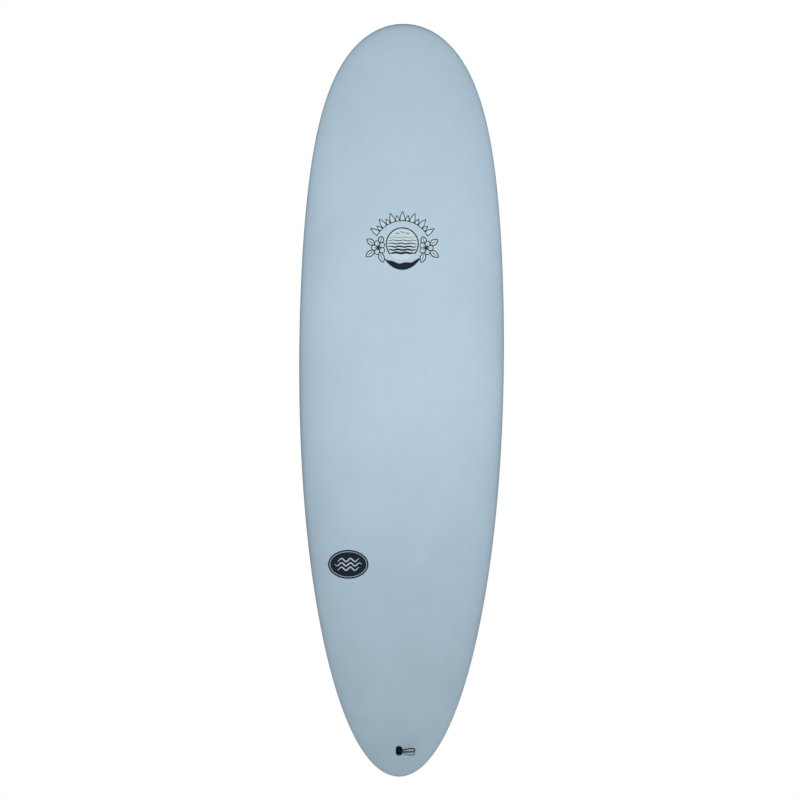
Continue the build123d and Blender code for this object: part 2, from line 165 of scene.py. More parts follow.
def closed_sheet(name, outer_rows, inner_rows, material):
    """A closed shell from two grids of the same size that share an outline."""
    rows, columns = len(outer_rows), len(outer_rows[0])
    verts = [p for row in outer_rows for p in row] + [p for row in inner_rows for p in row]
    second = rows * columns
    faces = grid_faces(rows, columns) + grid_faces(rows, columns, second, flip=True)
    for r in range(rows - 1):
        for k in (0, columns - 1):
            a = r * columns + k
            faces.append((a, a + columns, second + a + columns, second + a))
    for r in (0, rows - 1):
        if math.dist(outer_rows[r][0], outer_rows[r][-1]) > 1e-6:
            for k in range(columns - 1):
                a = r * columns + k
                faces.append((a, a + 1, second + a + 1, second + a))
    return make_piece(name, verts, faces, material)


def cut(piece, cutter):
    """Takes the cutter's shape out of the piece, and removes the cutter."""
    step = piece.modifiers.new("cut", "BOOLEAN")
    step.operation = "DIFFERENCE"
    step.solver = "EXACT"
    step.object = cutter
    graph = bpy.context.evaluated_depsgraph_get()
    result = bpy.data.meshes.new_from_object(piece.evaluated_get(graph))
    piece.modifiers.clear()
    material = piece.data.materials[0]
    piece.data = result
    bpy.data.objects.remove(cutter)
    finish_mesh(piece, material)


def local_frame(origin, out, along):
    """Matrix whose X runs across, Y along and Z out of the surface."""
    z = Vector(out).normalized()
    y = Vector(along).normalized()
    x = y.cross(z)
    return Matrix((
        (x.x, y.x, z.x, origin[0]),
        (x.y, y.y, z.y, origin[1]),
        (x.z, y.z, z.z, origin[2]),
        (0, 0, 0, 1),
    ))


def stadium(width, length, height, count=16):
    """A ring of points round a slot shape that runs along Y."""
    ring = []
    straight = (length - width) / 2
    for k in range(2 * count):
        turn = math.pi * (k + 0.5) / count
        shift = straight if math.sin(turn) > 0 else -straight
        ring.append((width / 2 * math.cos(turn), width / 2 * math.sin(turn) + shift, height))
    return ring


def rounded_bar(width, length, radius, height, count=6):
    """A ring of points round a rectangle with rounded corners."""
    ring = []
    for corner, (sx, sy) in enumerate(((1, 1), (-1, 1), (-1, -1), (1, -1))):
        for k in range(count + 1):
            turn = math.pi / 2 * (corner + k / count)
            ring.append((
                sx * (width / 2 - radius) + radius * math.cos(turn),
                sy * (length / 2 - radius) + radius * math.sin(turn),
                height,
            ))
    return ring


def stack_rings(name, rings, place, material, sharp=40.0):
    """Skins a stack of rings, with the first and the last capped."""
    size = len(rings[0])
    verts = [place @ Vector(p) for ring in rings for p in ring]
    faces = []
    for r in range(len(rings) - 1):
        below, above = r * size, (r + 1) * size
        for k in range(size):
            n = (k + 1) % size
            faces.append((below + k, below + n, above + n, above + k))
    faces.append(tuple(range(size))[::-1])
    faces.append(tuple((len(rings) - 1) * size + k for k in range(size)))
    return make_piece(name, verts, faces, material, sharp)


# ---- materials -----------------------------------------------------------------------------

class Shade:
    """A principled material with short helpers for its nodes."""

    def __init__(self, name, colour, rough, **sockets):
        self.material = bpy.data.materials.new(name)
        self.material.use_nodes = True
        self.tree = self.material.node_tree
        self.base = self.tree.nodes["Principled BSDF"]
        self.base.inputs["Base Color"].default_value = (*colour, 1)
        self.base.inputs["Roughness"].default_value = rough
        for socket, value in sockets.items():
            self.base.inputs[socket.replace("_", " ")].default_value = value
        self.place = self.node("ShaderNodeTexCoord").outputs["Object"]

    def node(self, kind, **settings):
        made = self.tree.nodes.new(kind)
        for key, value in settings.items():
            setattr(made, key, value)
        return made

    def link(self, start, end):
        self.tree.links.new(start, end)

    def noise(self, scale, detail=3.0, rough=0.55, stretch=None):
        texture = self.node("ShaderNodeTexNoise")
        texture.inputs["Scale"].default_value = scale
        texture.inputs["Detail"].default_value = detail
        texture.inputs["Roughness"].default_value = rough
        source = self.place
        if stretch:
            mapping = self.node("ShaderNodeMapping")
            mapping.inputs["Scale"].default_value = stretch
            self.link(source, mapping.inputs["Vector"])
            source = mapping.outputs["Vector"]
        self.link(source, texture.inputs["Vector"])
        return texture.outputs["Fac"]

    def cells(self, scale):
        texture = self.node("ShaderNodeTexVoronoi", feature="F1")
        texture.inputs["Scale"].default_value = scale
        self.link(self.place, texture.inputs["Vector"])
        return texture.outputs["Distance"]

    def ramp(self, value, stops):
        ramp = self.node("ShaderNodeValToRGB")
        while len(ramp.color_ramp.elements) < len(stops):
            ramp.color_ramp.elements.new(0.5)
        for element, (position, colour) in zip(ramp.color_ramp.elements, stops):
            element.position = position
            element.color = colour if len(colour) == 4 else (*colour, 1)
        self.link(value, ramp.inputs["Fac"])
        return ramp.outputs["Color"]

    def spread(self, value, low, high, into_low, into_high):
        span = self.node("ShaderNodeMapRange")
        limits = {"From Min": low, "From Max": high, "To Min": into_low, "To Max": into_high}
        for socket, number in limits.items():
            span.inputs[socket].default_value = number
        self.link(value, span.inputs["Value"])
        return span.outputs["Result"]

    def mix(self, factor, first, second, blend="MIX"):
        mixer = self.node("ShaderNodeMix", data_type="RGBA", blend_type=blend)
        for socket, value in ((0, factor), (6, first), (7, second)):
            if isinstance(value, (int, float)):
                mixer.inputs[socket].default_value = value
            elif isinstance(value, tuple):
                mixer.inputs[socket].default_value = (*value, 1)
            else:
                self.link(value, mixer.inputs[socket])
        return mixer.outputs[2]

    def colour(self, source):
        self.link(source, self.base.inputs["Base Color"])

    def roughness(self, source):
        self.link(source, self.base.inputs["Roughness"])

    def bump(self, height, distance, strength=1.0, before=None):
        step = self.node("ShaderNodeBump")
        step.inputs["Distance"].default_value = distance
        step.inputs["Strength"].default_value = strength
        self.link(height, step.inputs["Height"])
        if before:
            self.link(before, step.inputs["Normal"])
        self.link(step.outputs["Normal"], self.base.inputs["Normal"])
        return step.outputs["Normal"]


DECK_BLUE = (0.450, 0.592, 0.702)


def deck_foam():
    """Closed-cell foam skin: pale blue, faintly mottled, with a fine pressed grain."""
    foam = Shade("deck_foam", DECK_BLUE, 0.62, Sheen_Weight=0.08, Sheen_Roughness=0.6)
    foam.base.inputs["Specular IOR Level"].default_value = 0.32
    mottle = foam.noise(5.0, 4.0, 0.6)
    light = tuple(1.035 * v for v in DECK_BLUE)
    dark = tuple(0.965 * v for v in DECK_BLUE)
    tone = foam.ramp(mottle, [(0.35, dark), (0.65, light)])
    speck = foam.spread(foam.noise(1400.0, 2.0), 0.35, 0.65, 0.955, 1.03)
    tone = foam.mix(1.0, tone, speck, "MULTIPLY")
    scuff = foam.spread(foam.noise(9.0, 6.0, 0.7, (1.0, 1.0, 0.35)), 0.60, 0.78, 0.0, 0.10)
    foam.colour(foam.mix(scuff, tone, (0.33, 0.42, 0.49)))
    foam.roughness(foam.spread(mottle, 0.3, 0.7, 0.57, 0.68))
    grain = foam.bump(foam.cells(620.0), 0.00016, 0.55)
    foam.bump(foam.noise(2600.0, 2.0), 0.00005, 0.6, grain)
    return foam.material


def slick_plastic():
    """Slick plastic bottom: off-white, slightly wavy, with light scratches along its length."""
    slick = Shade("slick_bottom", (0.80, 0.82, 0.82), 0.28, Coat_Weight=0.15, Coat_Roughness=0.25)
    tone = slick.ramp(slick.noise(3.0, 3.0), [
        (0.3, (0.76, 0.785, 0.79)),
        (0.7, (0.82, 0.835, 0.835)),
    ])
    scratch = slick.noise(60.0, 6.0, 0.75, (6.0, 6.0, 0.25))
    slick.colour(slick.mix(slick.spread(scratch, 0.63, 0.72, 0.0, 0.22), tone, (0.60, 0.62, 0.62)))
    slick.roughness(slick.spread(scratch, 0.4, 0.75, 0.24, 0.48))
    wave = slick.bump(slick.noise(14.0, 2.0), 0.0006, 0.35)
    slick.bump(slick.noise(700.0, 3.0), 0.00004, 0.5, wave)
    return slick.material


def moulded_black(name, tone, rough):
    """Moulded black plastic with a fine spark-eroded grain and slightly paler worn patches."""
    mould = Shade(name, (tone,) * 3, rough)
    wear = mould.spread(mould.noise(45.0, 5.0, 0.7), 0.45, 0.8, 0.0, 0.5)
    mould.colour(mould.mix(wear, (tone,) * 3, (tone * 2.2, tone * 2.3, tone * 2.5)))
    mould.roughness(mould.spread(mould.noise(120.0, 4.0), 0.3, 0.7, rough - 0.06, rough + 0.1))
    mould.bump(mould.noise(3200.0, 2.0), 0.00003, 0.6)
    return mould.material


def fin_plastic():
    """Satin black fin plastic: glass-filled, with faint flow marks along the blade."""
    fin = Shade("fin_plastic", (0.016, 0.0165, 0.018), 0.33)
    flow = fin.noise(16.0, 5.0, 0.6, (1.0, 1.0, 3.0))
    fin.colour(fin.ramp(flow, [(0.3, (0.012, 0.0125, 0.014)), (0.7, (0.024, 0.025, 0.028))]))
    fin.roughness(fin.spread(flow, 0.3, 0.7, 0.28, 0.42))
    fin.bump(fin.noise(420.0, 3.0), 0.00002, 0.4)
    return fin.material


def metal(name, colour, rough):
    """Turned metal with fine brushing."""
    shade = Shade(name, colour, rough, Metallic=1.0)
    brushed = shade.noise(900.0, 3.0, 0.6, (1.0, 1.0, 0.1))
    shade.roughness(shade.spread(brushed, 0.3, 0.7, rough - 0.08, rough + 0.14))
    shade.bump(brushed, 0.00002, 0.5)
    return shade.material


def ink(name, colour):
    """Screen-printed ink: dull, and slightly uneven in tone and thickness."""
    shade = Shade(name, colour, 0.8)
    shade.base.inputs["Specular IOR Level"].default_value = 0.12
    patchy = shade.noise(260.0, 5.0, 0.7)
    paler = tuple(min(1.0, v * 1.4 + 0.008) for v in colour)
    shade.colour(shade.mix(shade.spread(patchy, 0.55, 0.85, 0.0, 0.4), colour, paler))
    shade.bump(shade.noise(900.0, 3.0), 0.00003, 0.5)
    return shade.material


def cord_fibre():
    """Black braided polyester."""
    fibre = Shade(
        "leash_cord", (0.005, 0.005, 0.006), 0.75, Sheen_Weight=0.06, Sheen_Roughness=0.45
    )
    fibre.base.inputs["Specular IOR Level"].default_value = 0.25
    strand = fibre.noise(2600.0, 3.0, 0.6)
    fibre.colour(fibre.ramp(strand, [
        (0.3, (0.0025, 0.0025, 0.003)),
        (0.7, (0.010, 0.010, 0.012)),
    ]))
    fibre.bump(strand, 0.00006, 0.7)
    return fibre.material


def core_foam():
    """White bead foam, seen only where a pocket is cut."""
    foam = Shade("core_foam", (0.85, 0.85, 0.83), 0.9)
    bead = foam.cells(260.0)
    foam.colour(foam.ramp(bead, [(0.0, (0.88, 0.88, 0.86)), (0.7, (0.72, 0.72, 0.70))]))
    foam.bump(bead, 0.0006, 0.6)
    return foam.material


def stringer_wood():
    """Pale wood with its grain along the board."""
    wood = Shade("stringer_wood", (0.5, 0.34, 0.2), 0.7)
    ring = wood.noise(30.0, 4.0, 0.6, (8.0, 8.0, 0.3))
    wood.colour(wood.ramp(ring, [(0.3, (0.42, 0.27, 0.15)), (0.7, (0.60, 0.43, 0.27))]))
    wood.bump(ring, 0.0001, 0.5)
    return wood.material


DECK = deck_foam()
SLICK = slick_plastic()
BOX_BLACK = moulded_black("black_plastic", 0.007, 0.40)
FIN_BLACK = fin_plastic()
STEEL = metal("stainless", (0.56, 0.57, 0.58), 0.28)
BRASS = metal("brass_pin", (0.70, 0.52, 0.28), 0.32)
CORD = cord_fibre()
CORE = core_foam()
WOOD = stringer_wood()
NAVY_INK = ink("navy_ink", (0.012, 0.019, 0.033))
PALE_INK = ink("pale_ink", (0.50, 0.60, 0.67))
EMBLEM_INK = ink("emblem_fill_ink", (0.56, 0.68, 0.73))

node_materials = {
    "core_left": CORE,
    "core_centre": CORE,
    "core_right": CORE,
    "stringer_left": WOOD,
    "stringer_right": WOOD,
    "leash_plug_pin": BOX_BLACK,
    "centre_fin_box": BOX_BLACK,
    "side_fin_box_left": BOX_BLACK,
    "side_fin_box_right": BOX_BLACK,
    "centre_fin_roll_pin": BRASS,
    "centre_fin_plate": STEEL,
    "centre_fin_screw": STEEL,
    "grub_screw_left_front": STEEL,
    "grub_screw_left_rear": STEEL,
    "grub_screw_right_front": STEEL,
    "grub_screw_right_rear": STEEL,
}
for node, material in node_materials.items():
    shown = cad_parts[node]
    shown.data.materials.clear()
    shown.data.materials.append(material)


# ---- where the fittings sit, worked out as in the CAD source ---------------------------------

def slope(height, z):
    step = 0.001
    return math.atan2(height(z + step) - height(z - step), 2 * step)


def surface_frame(origin, lean, cant=0.0, toe=0.0, deck=False):
    turn = Matrix.Identity(3)
    for axis, angle in (("X", lean), ("Z", cant), ("Y", toe)):
        turn = Matrix.Rotation(angle, 3, axis) @ turn
    out = turn @ Vector((0, -1 if deck else 1, 0))
    across = turn @ Vector((1, 0, 0))
    return local_frame(origin, out, out.cross(across))


def hull_bottom(z):
    return bottom_y(z / HALF_LENGTH)


def hull_deck(z):
    return bottom_y(z / HALF_LENGTH) - thickness(z / HALF_LENGTH)


PLUG_Z = 0.072 - HALF_LENGTH
PLUG_PROUD = 0.0003  # how far the flange stands above the deck
CENTRE_BOX_Z = 0.262 - HALF_LENGTH
SIDE_BOX_Z = 0.415 - HALF_LENGTH
SIDE_BOX_X = 0.172
SIDE_CANT = 6.0  # degrees
SIDE_TOE = 1.5
plug_place = surface_frame(
    (0, hull_deck(PLUG_Z) - PLUG_PROUD, PLUG_Z), -slope(hull_deck, PLUG_Z), deck=True
)
centre_place = surface_frame(
    (0, hull_bottom(CENTRE_BOX_Z), CENTRE_BOX_Z), -slope(hull_bottom, CENTRE_BOX_Z)
)
side_places = {
    name: surface_frame(
        (way * SIDE_BOX_X, hull_bottom(SIDE_BOX_Z), SIDE_BOX_Z),
        -slope(hull_bottom, SIDE_BOX_Z),
        cant=-way * math.radians(SIDE_CANT),
        toe=-way * math.radians(SIDE_TOE),
    )
    for name, way in (("left", -1), ("right", 1))
}


# ---- deck and bottom skins -------------------------------------------------------------------

ROWS = 221
DECK_COLUMNS = 97
TUCK_COLUMNS = 11
SLICK_COLUMNS = 61
SEAM_DROP = 0.0004  # how far both skins dip where they meet
PLUG_HOLE = (0.0188, 0.0277)  # the holes are 0.2 or 0.3 mm wider than what sits in them
CENTRE_HOLE = (0.0253, 0.2653)
SIDE_HOLE = (0.0243, 0.1183)
SIDE_HOLE_CORNER = 0.009
PLUG_HOLE_SPAN = (-0.012, 0.01)  # from inside the board to clear of it
BOX_HOLE_SPAN = (-0.015, 0.02)


def stations():
    for r in range(ROWS):
        yield math.sin(math.radians(90.0 * (2 * r / (ROWS - 1) - 1)))


def wrapped_row(hull, c, drop):
    """One row of the deck skin: under the left rail, over the deck and under the right one."""
    width = half_width(c) * hull.narrow
    z = c * hull.reach
    edge_x, edge_z = slick_edge(c)
    under = []
    for k in range(TUCK_COLUMNS):
        share = 1 - math.cos(math.radians(90.0 * k / (TUCK_COLUMNS - 1)))
        x = width + (edge_x - width) * share
        along = z + (edge_z - z) * share
        lift = drop if k == TUCK_COLUMNS - 1 else 0.0
        under.append((x, hull.bottom(x, along) - lift, along))
    row = [(-x, y, along) for x, y, along in reversed(under)]
    _, low, thick = hull.section(z)
    for k in range(1, DECK_COLUMNS - 1):
        turn = math.pi * (1 - k / (DECK_COLUMNS - 1))
        reach = abs(math.cos(turn)) ** (2 / DECK_POWER)
        x = math.copysign(width * reach, math.cos(turn))
        row.append((x, low - thick * (APEX + (1 - APEX) * math.sin(turn)), z))
    return row + under


def slick_row(hull, c, drop):
    """One row of the bottom skin, from edge to edge, with its edges eased."""
    edge_x, z = slick_edge(c)
    row = []
    last = SLICK_COLUMNS - 1
    for k in range(SLICK_COLUMNS):
        share = math.sin(math.radians(90.0 * (2 * k / last - 1)))
        x = edge_x * share
        lift = drop if k in (0, last) else 0.0
        row.append((x, hull.bottom(x, z) - lift, z))
    return row


def make_skins():
    deck_outer = [wrapped_row(OUTER, c, SEAM_DROP) for c in stations()]
    deck_inner = [wrapped_row(INNER, c, 0.0) for c in stations()]
    deck = closed_sheet("foam_deck", deck_outer, deck_inner, DECK)
    slick_outer = [slick_row(OUTER, c, SEAM_DROP) for c in stations()]
    slick_inner = [slick_row(INNER, c, 0.0) for c in stations()]
    slick = closed_sheet("slick_bottom_sheet", slick_outer, slick_inner, SLICK)
    return deck, slick


def ring_cutter(name, ring, place, span):
    rings = [[(x, y, h) for x, y, _ in ring] for h in span]
    return stack_rings(name, rings, place, BOX_BLACK)


deck_sheet, slick_sheet = make_skins()
cut(deck_sheet, ring_cutter("plug_hole", stadium(*PLUG_HOLE, 0), plug_place, PLUG_HOLE_SPAN))
cut(slick_sheet, ring_cutter("centre_hole", stadium(*CENTRE_HOLE, 0), centre_place, BOX_HOLE_SPAN))
for side, place in side_places.items():
    outline = rounded_bar(*SIDE_HOLE, SIDE_HOLE_CORNER, 0)
    cut(slick_sheet, ring_cutter("side_hole", outline, place, BOX_HOLE_SPAN))
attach(deck_sheet, "board")
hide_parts("deck_skin")
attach(slick_sheet, "board")
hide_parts("bottom_skin")


# ---- printed marks on the deck ---------------------------------------------------------------

SHARPEST_MITRE = 0.35  # keeps the corners of an outline from running out in long spikes
BLADE_STEPS = 20


class Print:
    """Thin ink laid on the deck, drawn in plan about a centre: x across, z up."""

    def __init__(self, centre, lift=0.00008, depth=0.00016):
        self.centre = centre
        self.lift = lift
        self.depth = depth
        self.verts = []
        self.faces = []

    def on_deck(self, x, z, lift):
        x += self.centre[0]
        z += self.centre[1]
        return (x, OUTER.deck(x, z) - lift, z)

    def patch(self, rows):
        """A slab from a grid of plan points."""
        count, size, start = len(rows), len(rows[0]), len(self.verts)
        for lift in (self.lift, self.lift - self.depth):
            self.verts += [self.on_deck(x, z, lift) for row in rows for x, z in row]
        second = start + count * size
        self.faces += grid_faces(count, size, start)
        self.faces += grid_faces(count, size, second, flip=True)
        for r in range(count - 1):
            for k in (0, size - 1):
                a = start + r * size + k
                b = second + r * size + k
                self.faces.append((a, a + size, b + size, b))
        if math.dist(rows[0][0], rows[-1][0]) < 1e-7:
            return
        for k in range(size - 1):
            for r in (0, count - 1):
                a = start + r * size + k
                b = second + r * size + k
                self.faces.append((a, a + 1, b + 1, b))

    def stroke(self, points, width, taper=0.0):
        """A line of ink along a path; taper narrows both of its ends."""
        rows = []
        last = len(points) - 1
        for k, (x, z) in enumerate(points):
            before = points[max(0, k - 1)]
            after = points[min(last, k + 1)]
            dx, dz = after[0] - before[0], after[1] - before[1]
            length = math.hypot(dx, dz) or 1.0
            narrow = 1 - taper * abs(2 * k / last - 1) ** 3
            half = width / 2 * narrow
            rows.append([(x - dz / length * half, z + dx / length * half),
                         (x + dz / length * half, z - dx / length * half)])
        self.patch(rows)

    def ring(self, x, z, across, up, width, start=0.0, end=360.0, steps=72):
        rows = []
        for k in range(steps + 1):
            turn = math.radians(start + (end - start) * k / steps)
            rows.append([
                (
                    x + (across + s * width / 2) * math.cos(turn),
                    z + (up + s * width / 2) * math.sin(turn),
                )
                for s in (-1, 1)
            ])
        self.patch(rows)

    def disc(self, x, z, across, up, steps=48, columns=13):
        rows = []
        for k in range(steps + 1):
            turn = math.pi * k / steps
            half = max(up * math.sin(turn), 1e-5)
            rows.append([
                (x - across * math.cos(turn), z + half * (2 * s / (columns - 1) - 1))
                for s in range(columns)
            ])
        self.patch(rows)

    def outline(self, corners, width):
        """A closed line round a convex shape, with mitred corners."""
        rows = []
        count = len(corners)
        for k in range(count + 1):
            before, here, after = corners[k - 1], corners[k % count], corners[(k + 1) % count]
            first = Vector((here[0] - before[0], here[1] - before[1])).normalized()
            second = Vector((after[0] - here[0], after[1] - here[1])).normalized()
            mitre = Vector((-first.y - second.y, first.x + second.x)).normalized()
            reach = width / 2 / max(SHARPEST_MITRE, mitre.dot(Vector((-first.y, first.x))))
            rows.append([
                (here[0] + s * reach * mitre.x, here[1] + s * reach * mitre.y) for s in (-1, 1)
            ])
        self.patch(rows)

    def blade(self, x, z, angle, length, width):
        """The two edges of a pointed leaf or petal that grows from a point."""
        turn = math.radians(angle)
        edges = []
        for side in (-1, 1):
            path = []
            for k in range(BLADE_STEPS + 1):
                share = k / BLADE_STEPS
                out = side * width / 2 * math.sin(math.pi * share) ** 0.8
                path.append((
                    x + length * share * math.cos(turn) - out * math.sin(turn),
                    z + length * share * math.sin(turn) + out * math.cos(turn),
                ))
            edges.append(path)
        return edges

    def build(self, name, material):
        return make_piece(name, self.verts, self.faces, material, sharp=50.0, merge=1e-7)


WAVE_STEPS = 80


def wave_path(left, right, level, height, length, phase=0.0):
    path = []
    for k in range(WAVE_STEPS + 1):
        x = left + (right - left) * k / WAVE_STEPS
        path.append((x, level + height * math.sin(math.tau * x / length + phase)))
    return path


EMBLEM_CENTRE = (0.0, 0.4414)
LINE = 0.0027  # the emblem's full line width
RAY_COUNT = 13
RAY_SWEEP = (33, 114)  # degrees: where the arch starts, and how far it goes
RAY_ROOT = 0.0790  # from the arch's centre
RAY_WAIST = 0.0815  # with 0.3 of a ray's length added, where it starts to narrow
RAY_DROP = 0.0230  # from the emblem's centre down to the arch's
RAY_TIP = 0.0008  # half the width of a ray's tip
SUN_LEVEL = -0.0080
SUN_RADIUS = 0.0440
SUN_BANDS = 6
SEA_LEVEL = -0.0470
SEA_HALF_WIDTH = 0.0500
SEA_STEPS = 40
FLOWER_PLACE = (0.0660, -0.0190)
FLOWER_SIZE = 0.0200
LEAF_START = 0.0125  # from the flower's centre
LEAF_WIDTH = 0.0150
LEAF_LENGTHS = (0.0200, 0.0270, 0.0300, 0.0300)  # a fifth would point at the sun


def draw_leaf(lines, fills, x, z, angle, length, width):
    edges = lines.blade(x, z, angle, length, width)
    fills.patch(list(zip(*edges)))
    for edge in edges:
        lines.stroke(edge, LINE)
    turn = math.radians(angle)
    rib = [
        (x + length * s / 10 * math.cos(turn), z + length * s / 10 * math.sin(turn))
        for s in range(1, 9)
    ]
    lines.stroke(rib, LINE * 0.7, 0.5)


def draw_flower(lines, fills, x, z, size, lean):
    """Five outlined petals, each with a fold, round a dark eye."""
    for k in range(5):
        angle = lean + 72 * k
        turn = math.radians(angle)
        foot = (x + size * 0.2 * math.cos(turn), z + size * 0.2 * math.sin(turn))
        edges = lines.blade(*foot, angle, size * 0.8, size * 0.74)
        fills.patch(list(zip(*edges)))
        for edge in edges:
            lines.stroke(edge, LINE * 0.85)
        fold = [
            (foot[0] + size * s / 14 * math.cos(turn), foot[1] + size * s / 14 * math.sin(turn))
            for s in range(2, 7)
        ]
        lines.stroke(fold, LINE * 0.6, 0.5)
    lines.disc(x, z, size * 0.19, size * 0.19, steps=24, columns=5)


def draw_rays(lines, fills):
    """A sunburst of outlined, pointed rays in an arch."""
    start, sweep = RAY_SWEEP
    for k in range(RAY_COUNT):
        turn = math.radians(start + sweep * k / (RAY_COUNT - 1))
        reach, foot = (0.1040, 0.0066) if k % 2 == 0 else (0.0940, 0.0048)
        waist = RAY_WAIST + 0.3 * (reach - RAY_ROOT)
        side = [(RAY_ROOT, foot), (waist, foot * 0.96), (reach, RAY_TIP)]
        corners = []
        for far, half in side + [(far, -half) for far, half in reversed(side)]:
            across = far * math.cos(turn) - half * math.sin(turn)
            up = far * math.sin(turn) + half * math.cos(turn)
            corners.append((across, up - RAY_DROP))
        fills.patch([[corners[n], corners[5 - n]] for n in range(3)])
        lines.outline(corners, LINE * 0.85)


def draw_sun(lines, fills):
    """A round sun cut by bands that thicken toward the sea, with a dark crescent of sea below."""
    x, z, size = 0.0, SUN_LEVEL, SUN_RADIUS
    fills.disc(x, z, size, size)
    lines.ring(x, z, size, size, LINE * 1.2, -40, 220)
    for k in range(SUN_BANDS):
        level = z + 0.0180 - 0.0086 * k
        half = math.sqrt(size**2 - (level - z) ** 2) - 0.0035
        path = wave_path(-half, half, level, 0.0011, 0.0264, 1.1 * k)
        lines.stroke(path, 0.0012 + 0.0010 * k, 0.5)
    for k in range(3):
        height = z + 0.0290 + 0.0035 * (k % 2)
        left = -0.020 + 0.014 * k
        cloud = [(left + 0.0016 * s, height + 0.0012 * math.sin(s * 0.9)) for s in range(9)]
        lines.stroke(cloud, LINE * 0.7, 0.6)
    rows = []
    for k in range(SEA_STEPS + 1):
        share = 2 * k / SEA_STEPS - 1
        top = SEA_LEVEL - 0.0140 * (1 - share**2) + 0.0016 * math.sin(9 * share)
        low = SEA_LEVEL - 0.0330 * (1 - share**2) ** 0.8
        rows.append([(SEA_HALF_WIDTH * share, top), (SEA_HALF_WIDTH * share, low - 0.0002)])
    lines.patch(rows)


def make_emblem():
    """A banded sun over a dark sea, between flowers and leaves, under an arch of rays."""
    lines = Print(EMBLEM_CENTRE, lift=0.00013, depth=0.00010)
    fills = Print(EMBLEM_CENTRE, lift=0.00005, depth=0.00012)
    draw_rays(lines, fills)
    for side in (-1, 1):
        x, z = side * FLOWER_PLACE[0], FLOWER_PLACE[1]
        lean = 90 - side * 18
        draw_flower(lines, fills, x, z, FLOWER_SIZE, lean)
        for k, length in enumerate(LEAF_LENGTHS):
            heading = lean + side * 36 - side * 72 * k
            turn = math.radians(heading)
            start = (x + LEAF_START * math.cos(turn), z + LEAF_START * math.sin(turn))
            draw_leaf(lines, fills, *start, heading, length, LEAF_WIDTH)
    draw_sun(lines, fills)
    return lines.build("emblem_lines", NAVY_INK), fills.build("emblem_fill", EMBLEM_INK)


BADGE_CENTRE = (-0.1438, -0.4546)
BADGE_SIZE = (0.0560, 0.0400)  # half across and half up
BADGE_RIM = (0.0510, 0.0350)


def make_badge():
    """A dark oval patch with a pale rim line and three waves."""
    patch = Print(BADGE_CENTRE)
    patch.disc(0, 0, *BADGE_SIZE)
    lines = Print(BADGE_CENTRE, lift=0.00015, depth=0.00012)
    lines.ring(0, 0, *BADGE_RIM, 0.0014)
    for level, half in ((0.0120, 0.030), (0.0, 0.037), (-0.0120, 0.030)):
        lines.stroke(wave_path(-half, half, level, 0.0042, 0.0246), 0.0036, 0.7)
    return patch.build("badge_patch", NAVY_INK), lines.build("badge_lines", PALE_INK)


for mark in (*make_emblem(), *make_badge()):
    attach(mark, "board")


# ---- leash plug, pin and cord ----------------------------------------------------------------

PLUG_RINGS = (  # width, length and height above the flange's face
    (0.0164, 0.0250, -0.0200),
    (0.0164, 0.0250, -0.0022),
    (0.0186, 0.0275, -0.0022),
    (0.0186, 0.0275, -0.0006),
    (0.0183, 0.0272, -0.0002),
    (0.0178, 0.0267, 0.0),
    (0.0146, 0.0222, 0.0),
    (0.0138, 0.0214, -0.0003),
    (0.0132, 0.0208, -0.0011),
    (0.0130, 0.0206, -0.0024),
    (0.0130, 0.0206, -0.0172),
    (0.0118, 0.0194, -0.0180),
)


def make_plug():
    """The moulded cup: a rounded flange, an eased mouth and a deep cavity."""
    rings = [stadium(*ring) for ring in PLUG_RINGS]
    return stack_rings("leash_cup", rings, plug_place, BOX_BLACK, sharp=60.0)


plug = make_plug()
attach(plug, "board")
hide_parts("leash_plug_cup")

# The route of the cord, as in the CAD source: across, along and out of the deck, in metres.
STRING_ROUTE = [
    (0.0030, 0.0021, -0.0008),
    (0.0064, 0.0023, 0.0036),
    (0.0124, 0.0031, 0.0072),
    (0.0200, 0.0046, 0.0096),
    (0.0290, 0.0066, 0.0112),
    (0.0376, 0.0074, 0.0124),
    (0.0434, 0.0056, 0.0130),
    (0.0440, 0.0004, 0.0130),
    (0.0386, -0.0018, 0.0122),
    (0.0296, -0.0026, 0.0106),
    (0.0206, -0.0032, 0.0090),
    (0.0128, -0.0029, 0.0066),
    (0.0066, -0.0023, 0.0032),
    (0.0030, -0.0021, -0.0010),
]
STRING_RADIUS = 0.0017
PIN_DEPTH = 0.0045  # from the flange's face down to the pin's axis
BRAID_LAY = 0.0062  # a strand goes half way round the cord in this length
BRAID_STEP = 0.00035
BRAID_FILL = 0.985  # brings the ridges of the braid back toward the cord's radius
CORD_SIDES = 32
HITCH_STEPS = 90
HITCH_TURNS = 1.9
HITCH_WRAP = 0.0037  # from the pin's axis to the middle of the cord
HITCH_SPREAD = 0.0062  # along the pin, from the first turn to the last
HITCH_START = math.radians(40)


def route_line(name, points):
    """Points along one open NURBS spline through the route's control points."""
    curve = bpy.data.curves.new(name, "CURVE")
    curve.dimensions = "3D"
    curve.resolution_u = 24
    spline = curve.splines.new("NURBS")
    spline.points.add(len(points) - 1)
    for point, place in zip(spline.points, points):
        point.co = (*place, 1)
    spline.order_u = 3
    spline.use_endpoint_u = True
    holder = bpy.data.objects.new(name, curve)
    bpy.context.scene.collection.objects.link(holder)
    graph = bpy.context.evaluated_depsgraph_get()
    line = bpy.data.meshes.new_from_object(holder.evaluated_get(graph))
    path = [v.co.copy() for v in line.vertices]
    bpy.data.objects.remove(holder)
    return path


